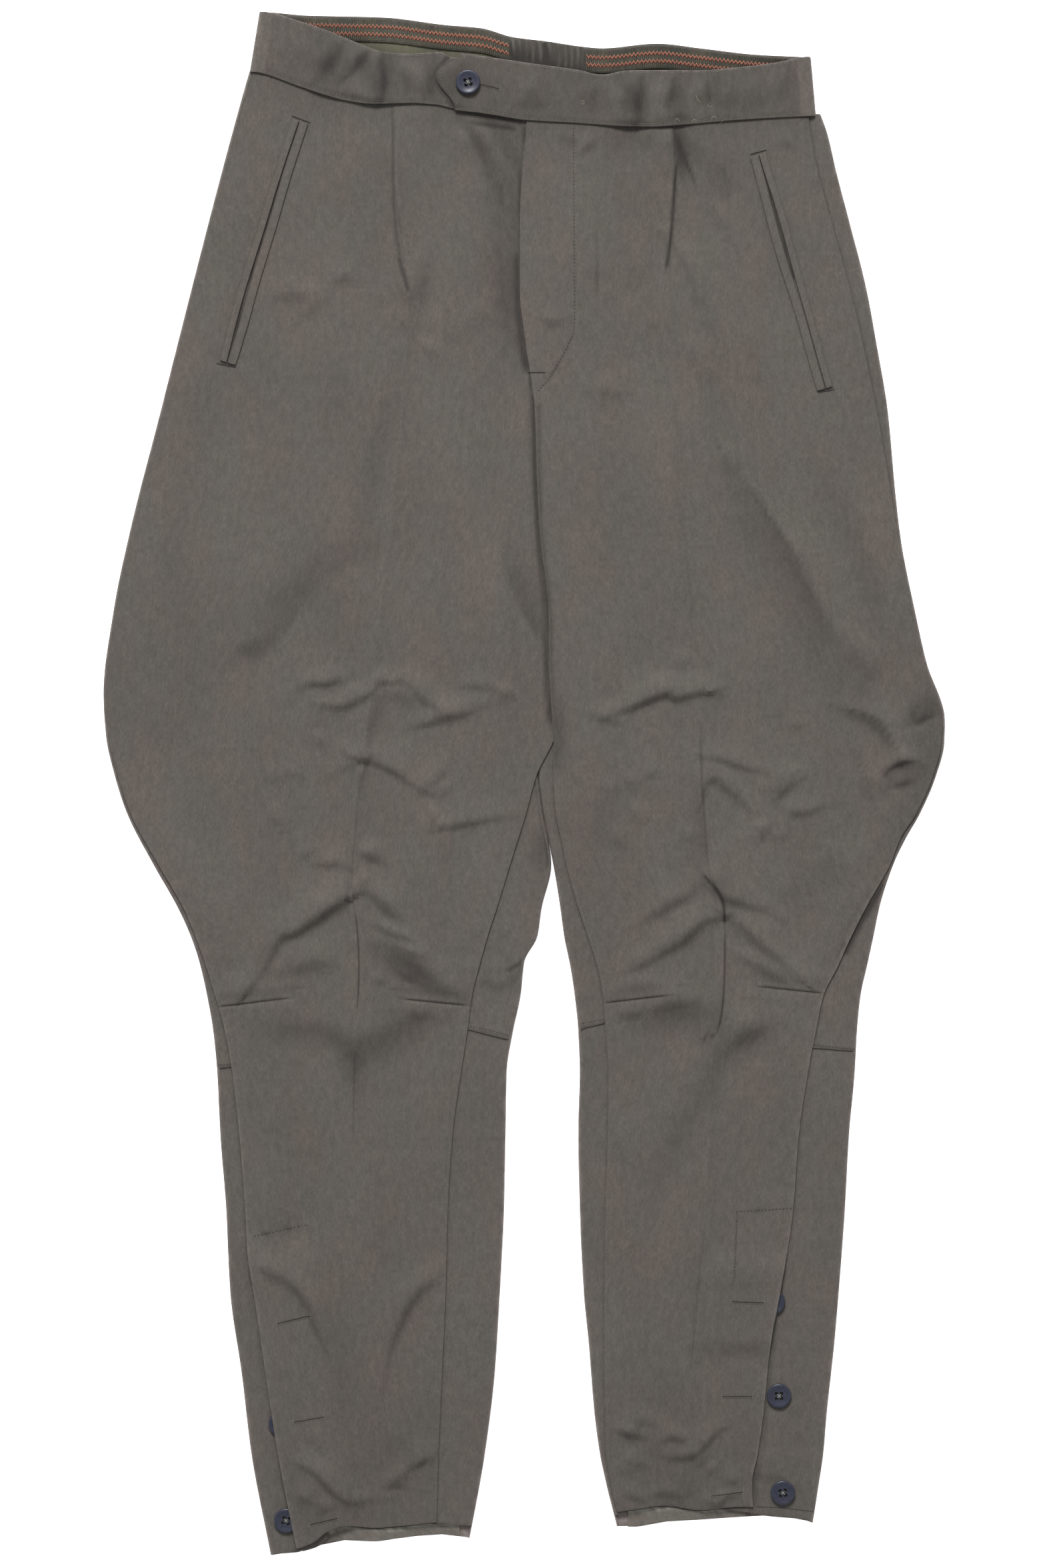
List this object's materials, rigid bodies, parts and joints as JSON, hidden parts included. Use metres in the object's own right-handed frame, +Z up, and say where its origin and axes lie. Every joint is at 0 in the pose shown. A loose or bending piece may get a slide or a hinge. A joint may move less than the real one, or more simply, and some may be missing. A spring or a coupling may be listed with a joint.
{
  "type": "riding breeches laid flat",
  "caption": "Riding breeches laid flat, front side up: wide thighs, pleated fronts, slanted welt pockets, a tab waistband and buttoned calves.",
  "frame": {"origin": "centre of the bounding box, on the surface that the breeches lie on", "axes": "+Z up out of the front side, +Y towards the waist, +X towards the wearer's left side"},
  "size_m": [0.5995, 1.1011, 0.0164],
  "materials": {
    "gabardine": "matt grey-olive wool and cotton twill with a fine heathered yarn",
    "lining_cotton": "plain olive lining cotton",
    "waist_tape": "ribbed green grip tape with two orange-brown zigzag lines",
    "button_plastic": "dark navy four-hole buttons, polished"
  },
  "bodies": {
    "root": {"back_calf_left": "gabardine", "back_calf_right": "gabardine", "back_thigh_left": "gabardine", "back_thigh_right": "gabardine", "button_calf_left_bottom": "button_plastic", "button_calf_left_middle": "button_plastic", "button_calf_left_top": "button_plastic", "button_calf_right_bottom": "button_plastic", "button_calf_right_middle": "button_plastic", "button_calf_right_top": "button_plastic", "button_waist": "button_plastic", "centre_back_facing_left": "gabardine", "centre_back_facing_right": "gabardine", "front_left": "gabardine", "front_right": "gabardine", "hem_facing_left": "gabardine", "hem_facing_right": "gabardine", "pocket_left_front_welt": "gabardine", "pocket_left_side_welt": "gabardine", "pocket_right_front_welt": "gabardine", "pocket_right_side_welt": "gabardine", "waist_lining_left": "lining_cotton", "waist_lining_right": "lining_cotton", "waist_tape_left": "waist_tape", "waist_tape_right": "waist_tape", "waistband_left": "gabardine", "waistband_right": "gabardine"}
  },
  "joints": []
}
